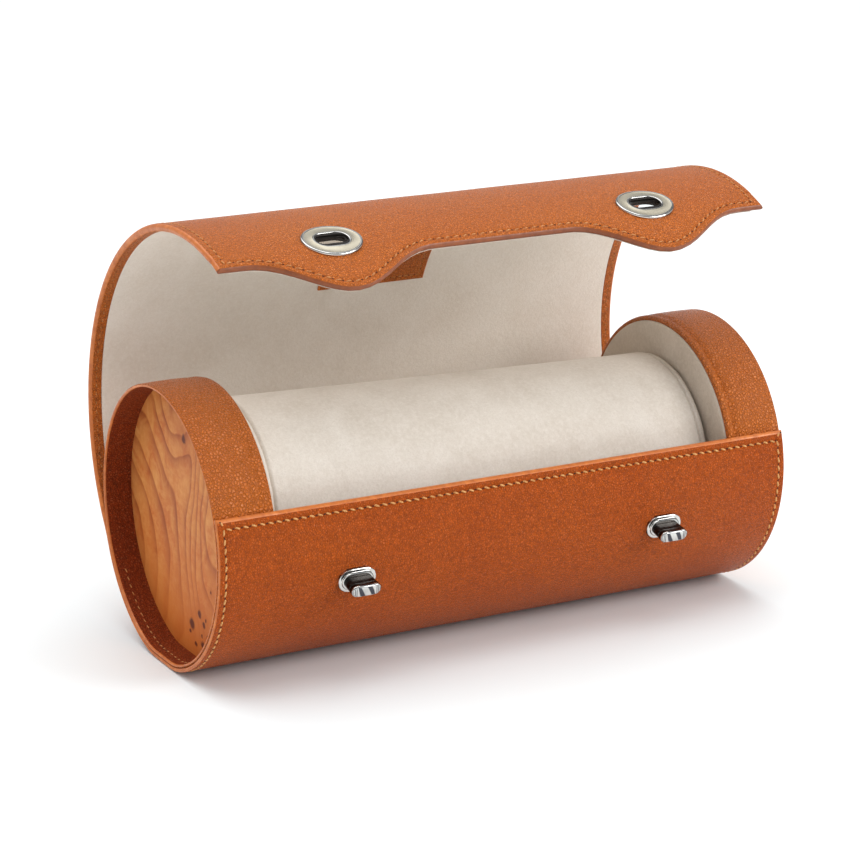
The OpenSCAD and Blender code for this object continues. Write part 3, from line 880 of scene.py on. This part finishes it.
def flap_grid(zone, inset_side, inset_front, edges):
    """Grid over a zone: points, normals, distance to the side edge and to the front edge."""
    lines = 49
    columns = []
    if zone < PANELS:
        for t in np.linspace(0, 1, 21 if zone else 17):
            half = half_at(zone, t) - inset_side
            xs = across(half, edges, lines)
            columns.append((xs, [flap_frame(zone, t)] * len(xs), half - np.abs(xs), np.full_like(xs, 99.0)))
    else:
        near = edges[edges <= 5.6]
        fractions = np.linspace(0, 1, 9)[:-1]
        for k in range(len(fractions) + len(near)):
            half = half_at(zone, 10.0 if k else 0.0) - inset_side
            xs = across(half, edges, lines)
            edge, cosine = wave_at(xs)
            edge = edge - inset_front / cosine
            if k < len(fractions):
                s = (edge - near[-1] / cosine) * fractions[k]
            else:
                s = edge - near[::-1][k - len(fractions)] / cosine
            spots = [flap_frame(zone, float(v)) for v in s]
            columns.append((xs, spots, half - np.abs(xs), (edge - s) * cosine))
    points = np.stack([[(x, f[0], f[1]) for x, f in zip(c[0], c[1])] for c in columns], 1)
    normals = np.stack([[f[2] for f in c[1]] for c in columns], 1)
    return points, normals, *(np.stack([c[i] for c in columns], 1) for i in (2, 3))


def slot_cutter():
    """Slot-shaped solids through the flap round both turn-locks."""
    verts, faces = [], []
    y, z, h = panel_middle(PANELS - 1)
    h = radians(h)
    along, out = np.array([0, cos(h), sin(h)]), np.array([0, sin(h), -cos(h)])
    for _, side in SIDES:
        rings = [[tuple(np.array([side * LOCK_X + x, y, z]) + along * v + out * level)
                  for x, v in oblong_line(*FLAP_HOLE, 12)] for level in (-6.0, 6.0)]
        more, more_faces = stack(rings)
        faces += [tuple(i + len(verts) for i in f) for f in more_faces]
        verts += more
    return make("cutter", verts, faces, [HOLE], merge=0)


def cut(ob, cutter):
    """ob without the cutter's space, as a plain mesh."""
    mod = ob.modifiers.new("cut", "BOOLEAN")
    mod.operation, mod.object, mod.solver = "DIFFERENCE", cutter, "EXACT"
    bpy.context.view_layer.update()
    done = bpy.data.meshes.new_from_object(ob.evaluated_get(bpy.context.evaluated_depsgraph_get()))
    ob.modifiers.clear()
    ob.data = done
    return ob


def build_flap():
    """The flap's leather and lining, zone by zone."""
    cutter = slot_cutter()
    bead = 1.14
    lining_d = np.array([0, 0.08, 0.25, 0.5, 0.9, 1.6, 3.0, 5.0])
    for zone in range(PANELS + 1):
        front = zone == PANELS
        points, normals, du, dv = flap_grid(zone, 0.0, 0.0, EDGE_D)
        steps = du.shape[1]
        t_here = np.tile([thick_at(zone, j / (steps - 1)) for j in range(steps)], (du.shape[0], 1))
        side_drop = rounded(du, np.minimum(t_here / 2, 1.3))
        top = 0.10 * bell(du, 1.9, 0.8) - side_drop - 0.20 * bell(du, FLAP_SEAM, 0.55) * ease(2.4, 3.6, dv)
        if front:
            top = np.minimum(top, -rounded(dv, bead)) + 0.36 * bell(dv, 1.45, 0.75) * ease(0.0, 2.0, du)
            top -= 0.40 * bell(dv, 3.0, 0.6) * ease(2.4, 3.6, du)
        top += 0.10 * soft_noise(points, 32, 2.0) * ease(0, 8, np.minimum(du, dv)) * (1.0 if zone else 0.0)
        low = np.where(du < BORDER - 0.05, -t_here, -LEATHER_T - 0.05)
        lift = side_drop
        if front:
            low = np.where(dv < 6.5, -2.3, low)
            lift = np.maximum(side_drop, rounded(dv, bead))
        bottom = np.minimum(low + lift, top)
        # Material 1 is the sides' edge paint; material 2, under the front roll, is painted shade
        edge_paint_and_light = np.where(dv < 0.7, 2, (du < 1.05).astype(int))
        ob = make_sheet(f"flap_skin_{zone}", points, normals, top, bottom,
                        [FLAP_LEATHER if zone else ROOT_LEATHER, EDGE, BEAD_SHADE], edge_paint_and_light)
        if zone >= PANELS - 1:
            cut(ob, cutter)
        zone_piece(ob, zone, (f"flap_leather_{min(zone + 1, PANELS)}",))

        points, normals, du, dv = flap_grid(zone, BORDER - 0.04, 0.42, lining_d)
        if zone == 0:
            keep = [j for j in range(points.shape[1]) if points[0, j, 2] > line_at(0)[1] - 0.6]
            points, normals, du, dv = (a[:, keep] for a in (points, normals, du, dv))
        swell = 0.12 * soft_noise(points, 40, 6.0) * ease(0, 6, np.minimum(du, dv))
        top = np.full(du.shape, -LEATHER_T)
        bottom = 0.04 - FLAP_T - swell + rounded(np.minimum(du, dv), 0.25)
        if front:
            top = np.where(dv < 6.0, -2.26, -LEATHER_T)
        ob = make_sheet(f"flap_suede_{zone}", points, normals, top, bottom, [LINING])
        if zone >= PANELS - 1:
            cut(ob, cutter)
        nodes = (f"flap_lining_{zone + 1}", f"flap_stiffener_{zone + 1}") if zone < PANELS else ()
        zone_piece(ob, zone, nodes)
    bpy.data.objects.remove(cutter)
    sew_flap()


def sew_flap():
    """Stitches along the flap's sides, inside and outside, and along its wavy front edge."""
    pitch = 3.3
    root_line = [flap_line(0, i / 20)[:2] for i in range(21)]
    root_length = sum(dist(a, b) for a, b in zip(root_line, root_line[1:]))
    for zone in range(PANELS + 1):
        outside, inside = [], []
        if zone < PANELS:
            count = int(round((ARC if zone else root_length) / pitch))
            spots = [(i + 0.5) / count for i in range(count)]
        else:
            spots = [pitch * (i + 0.5) for i in range(2)]
        for t in spots:
            if zone == 0 and t < 0.45:
                continue
            spot = flap_frame(zone, t)
            _, _, n, along = spot
            half, thick = half_at(zone, t), thick_at(zone, t)
            for side in (-1, 1):
                outside.append((off_face(side * (half - FLAP_SEAM), spot, -0.13), along, n))
                inner = off_face(side * (half - INNER_SEAM), spot, -thick)
                inside.append((inner, along, (0, -n[1], -n[2])))
        if zone == PANELS:
            xs = np.linspace(-TIP_HALF + 3.6, TIP_HALF - 3.6, 4000)
            edge, cosine = wave_at(xs)
            s = edge - 3.1 / cosine
            run = np.concatenate([[0], np.cumsum(np.hypot(np.diff(xs), np.diff(s)))])
            count = int(round(run[-1] / pitch))
            for i in range(count):
                k = int(np.searchsorted(run, run[-1] * (i + 0.5) / count))
                spot = flap_frame(zone, float(s[k]))
                _, _, n, along = spot
                dx, ds = xs[k + 1] - xs[k - 1], s[k + 1] - s[k - 1]
                outside.append((off_face(xs[k], spot, -0.22), (dx, ds * along[1], ds * along[2]), n))
        zone_piece(sew(f"flap_stitches_{zone}", outside, TAN_THREAD, 2.2, 0.34, 0.30, 0.17), zone)
        stitches = sew(f"flap_inner_stitches_{zone}", inside, TAN_THREAD, 2.1, 0.24, 0.2, 0.02)
        zone_piece(stitches, zone)


def build_patch():
    """The plain leather patch inside the flap, sewn round its edge."""
    half, start, height, thick, seam = 21.5, 10.0, 15.0, 1.0, 2.2
    lining_out = 0.15 - FLAP_T
    xs = across(half, NARROW_D, 12)
    rows = np.unique(np.concatenate([NARROW_D, np.linspace(4.4, height - 4.4, 5), height - NARROW_D]))
    points, normals = np.zeros((len(xs), len(rows), 3)), np.zeros((len(xs), len(rows), 3))
    for j, d in enumerate(rows):
        spot = frame_at(4, start - ARC / 2 + d)
        points[:, j] = [off_face(x, spot, lining_out) for x in xs]
        normals[:, j] = (0, -spot[2][1], -spot[2][2])
    X, D = np.meshgrid(xs, rows, indexing="ij")
    edge = np.minimum(half - np.abs(X), np.minimum(D, height - D))
    top = thick - rounded(edge, 0.45) - 0.15 * bell(edge, 2.2, 0.5)
    way = zone_blend(4)
    bottom = np.full_like(top, -0.05)
    ob = make_sheet("plain_patch", points, normals, top, bottom, [FLAP_LEATHER, EDGE], edge < 0.45)
    finish_piece(ob, blend=way, replaces=("label_patch",))
    spots = [(x, d, True) for x in np.arange(-half + seam + 1.2, half - seam, 2.45)
             for d in (seam, height - seam)]
    spots += [(x, d, False) for d in np.arange(seam + 1.5, height - seam, 2.5)
              for x in (-half + seam, half - seam)]
    made = []
    for x, d, level in spots:
        spot = frame_at(4, start - ARC / 2 + d)
        _, _, n, along = spot
        made.append((off_face(x, spot, lining_out - thick + 0.12), (1, 0, 0) if level else along,
                     (0, -n[1], -n[2])))
    finish_piece(sew("patch_stitches", made, TAN_THREAD, 1.7, 0.22, 0.15, 0.10), blend=way)


def oblong_at(angle, length, width):
    """Where the ray at an angle from the middle leaves a slot shape."""
    c, s = cos(angle), sin(angle)
    half, straight = width / 2, (length - width) / 2
    if abs(c) * half <= abs(s) * straight:
        return half * c / abs(s), copysign(half, s)
    reach = straight * abs(c) + sqrt(half**2 - (straight * s) ** 2)
    return reach * c, reach * s


def build_slot_plates():
    """Oval plates with an oblong slot, and the dark sleeve that lines the hole behind each: the back plate,
    near-black as painted shade inside the hole, with an inner flange that narrows the view through.
    """
    count = 72
    turns = [2 * pi * i / count for i in range(count)]
    slot_line = [oblong_at(a, *PLATE_SLOT) for a in turns]
    oval = [(PLATE_HALF[0] * cos(a), PLATE_HALF[1] * sin(a)) for a in turns]
    # How far from the slot to the oval each ring of the plate lies, and how high
    plate_levels = ((0.0, 0.02), (0.0, 0.55), (0.02, 0.78), (0.07, 0.90), (0.14, 0.88), (0.16, 0.84),
                    (0.5, 0.86), (0.78, 0.84), (0.80, 0.88), (0.88, 0.92), (0.94, 0.84), (0.98, 0.62),
                    (1.0, 0.36), (1.0, 0.02))
    # Length, width and height of each ring of the sleeve
    sleeve_levels = ((15.1, 9.8, -0.05), (15.1, 9.8, -2.5), (16.9, 11.6, -2.62), (17.0, 11.7, -2.85),
                     (16.3, 11.0, -2.98), (14.9, 9.6, -2.98), (14.5, 9.2, -2.8), (14.5, 9.2, -1.12),
                     (11.6, 5.1, -1.08), (11.4, 4.9, -0.95), (11.4, 4.9, 0.6), (11.6, 5.1, 0.74),
                     (11.95, 7.3, 0.78), (11.98, 7.36, 0.1))

    def ring_form(side, rings):
        """Points on the flap, and faces, of a closed ring form from rings of (x, arc, lift)."""
        placed = [off_face(side * LOCK_X + x, frame_at(PANELS, v), lift)
                  for ring in rings for x, v, lift in ring]
        return placed, loop_faces(len(rings), len(rings[0]), wrap=True)

    for name, side in SIDES:
        verts, faces = ring_form(side, [
            [(sx + (ox - sx) * k, sy + (oy - sy) * k, lift) for (sx, sy), (ox, oy) in zip(slot_line, oval)]
            for k, lift in plate_levels])
        satin = [int(5 <= k <= 6) for k in range(len(plate_levels)) for _ in range(count)]
        ob = make(f"{name}_oval_plate", verts, faces, [CHROME, SATIN], satin, sharp=45, merge=0)
        finish_piece(ob, "flap_8", replaces=(f"{name}_slot_plate",))
        # The sleeve stands in for the back plate, near-black as painted shade inside the hole
        verts, faces = ring_form(side, [[(x, v, lift) for x, v in oblong_line(length, width, 12)]
                                        for length, width, lift in sleeve_levels])
        ob = make(f"{name}_slot_sleeve", verts, faces, [DARK_METAL_AND_SHADE], sharp=45, merge=0)
        finish_piece(ob, "flap_8", replaces=(f"{name}_slot_back_plate",))


# ---------- pillow ----------

def build_pillow():
    """The stuffed suede roll: a full cylinder whose ends are sewn in with a puckered seam."""
    d = np.array([0.0, 0.15, 0.5, 1.0, 1.5, 2.0, 2.4, 2.7, 3.0, 3.4, 4.0, 5.0, 6.5, 9, 12, 16, 21, 27, 34, 42,
                  52, 63, 75])
    xs = across(PILLOW_HALF, d, 3)
    angles = np.linspace(0, 2 * pi, 180, endpoint=False)
    X, A = np.meshgrid(xs, angles, indexing="ij")
    D = PILLOW_HALF - np.abs(X)
    place = np.stack([np.sign(X) * 40 + 0 * A, PILLOW_R * np.cos(A), PILLOW_R * np.sin(A)], -1)
    pucker = soft_noise(place, 3.6, 1.0) + 0.6 * soft_noise(place, 7.5, 5.0)
    R = PILLOW_R - 1.76 * (1 - np.sqrt(1 - np.clip(1 - D / 2.2, 0, 1) ** 2))
    R -= 0.8 * bell(D, 2.7, 0.38)
    R += 0.22 * pucker * bell(D, 3.2, 2.2) + 0.12 * pucker * bell(D, 1.2, 1.0)
    long = np.stack([X, PILLOW_R * np.cos(A), PILLOW_R * np.sin(A)], -1)
    R += 0.28 * soft_noise(long, 34, 3.0) + 0.10 * soft_noise(long, 13, 8.0) - 0.25
    verts = np.stack([X, R * np.cos(A), R * np.sin(A) + AXIS_Z], -1).reshape(-1, 3).tolist()
    n = len(angles)
    faces = loop_faces(len(xs), n)
    for end, row in ((-1, 0), (1, len(xs) - 1)):
        last = [row * n + j for j in range(n)]
        for r, push in ((34.6, 0.0), (33.6, -0.35), (32.0, -0.45), (26, -0.25), (16, -0.15), (6, -0.1)):
            ring = list(range(len(verts), len(verts) + n))
            verts += [(end * (PILLOW_HALF + push), r * cos(a), r * sin(a) + AXIS_Z) for a in angles]
            for j in range(n):
                k = (j + 1) % n
                faces.append((last[j], last[k], ring[k], ring[j]))
            last = ring
        faces.append(tuple(last))
    lean = radians(PILLOW_TILT)
    tipped = [(x * cos(lean) + (z - AXIS_Z) * sin(lean), y,
               (z - AXIS_Z) * cos(lean) - x * sin(lean) + AXIS_Z) for x, y, z in verts]
    ob = make("pillow_roll", tipped, faces, [PILLOW_SUEDE], sharp=60)
    finish_piece(ob, "pillow", replaces=(
        "pillow_sleeve", "left_pillow_end", "right_pillow_end", "pillow_foam", "pillow_tube"))


build_wrap()
build_inside()
build_cheeks()
build_locks()
build_flap()
build_patch()
build_slot_plates()
build_pillow()

CARRIED = {"board": BOARD, "core": BOARD, "tube": BOARD, "stiffener": BOARD, "foam": FOAM,
           "back_plate": DARK_METAL_AND_SHADE}
for node_name, node in frame["nodes"].items():
    picked = next((m for key, m in CARRIED.items() if key in node_name), BODY_LEATHER)
    if "wood_disc" in node_name:
        picked = WOOD[node_name.split("_")[0]]
    node.data.materials.clear()
    node.data.materials.append(picked)

# ---------- floor, light and camera ----------

floor_mat = Nodes("floor_mat").finish(Base_Color=(0.880, 0.925, 0.938), Roughness=0.9, Specular_IOR_Level=0.1)
bpy.ops.mesh.primitive_plane_add(size=14, location=(0, 2, -0.0002))
floor = bpy.context.object
floor.name = "floor"
floor.data.materials.append(floor_mat)

world = bpy.data.worlds.new("studio")
bpy.context.scene.world = world
world.use_nodes = True
world.node_tree.nodes["Background"].inputs["Color"].default_value = (1, 1, 1, 1)
world.node_tree.nodes["Background"].inputs["Strength"].default_value = 0.60


def softbox(name, place, target, size, power):
    light = bpy.data.lights.new(name, "AREA")
    light.shape, light.size, light.size_y = "RECTANGLE", size[0], size[1]
    light.energy = power
    ob = bpy.data.objects.new(name, light)
    ob.location = place
    ob.rotation_euler = (Vector(target) - Vector(place)).to_track_quat("-Z", "Y").to_euler()
    bpy.context.scene.collection.objects.link(ob)


softbox("top_light", (-0.3, 0.7, 2.6), (0, 0.5, 0), (3.4, 3.4), 72)
softbox("front_light", (0.95, -1.08, 0.74), (0.05, 0, 0.09), (0.95, 0.75), 13.5)

# Place, lens and turn of the camera, fitted to the photo
CAMERA_AT, LENS, DOWN, TURNED = (-0.4815, -0.8807, 0.3597), 124.1, 16.22, -28.35
cam_data = bpy.data.cameras.new("camera")
cam_data.lens, cam_data.sensor_width = LENS, 36.0
cam_data.clip_start, cam_data.clip_end = 0.05, 60
camera = bpy.data.objects.new("camera", cam_data)
camera.location = CAMERA_AT
camera.rotation_euler = Euler((radians(90 - DOWN), 0, radians(TURNED)), "XYZ")
bpy.context.scene.collection.objects.link(camera)
bpy.context.scene.camera = camera
bpy.context.scene.view_settings.view_transform = "Standard"

bpy.context.view_layer.update()
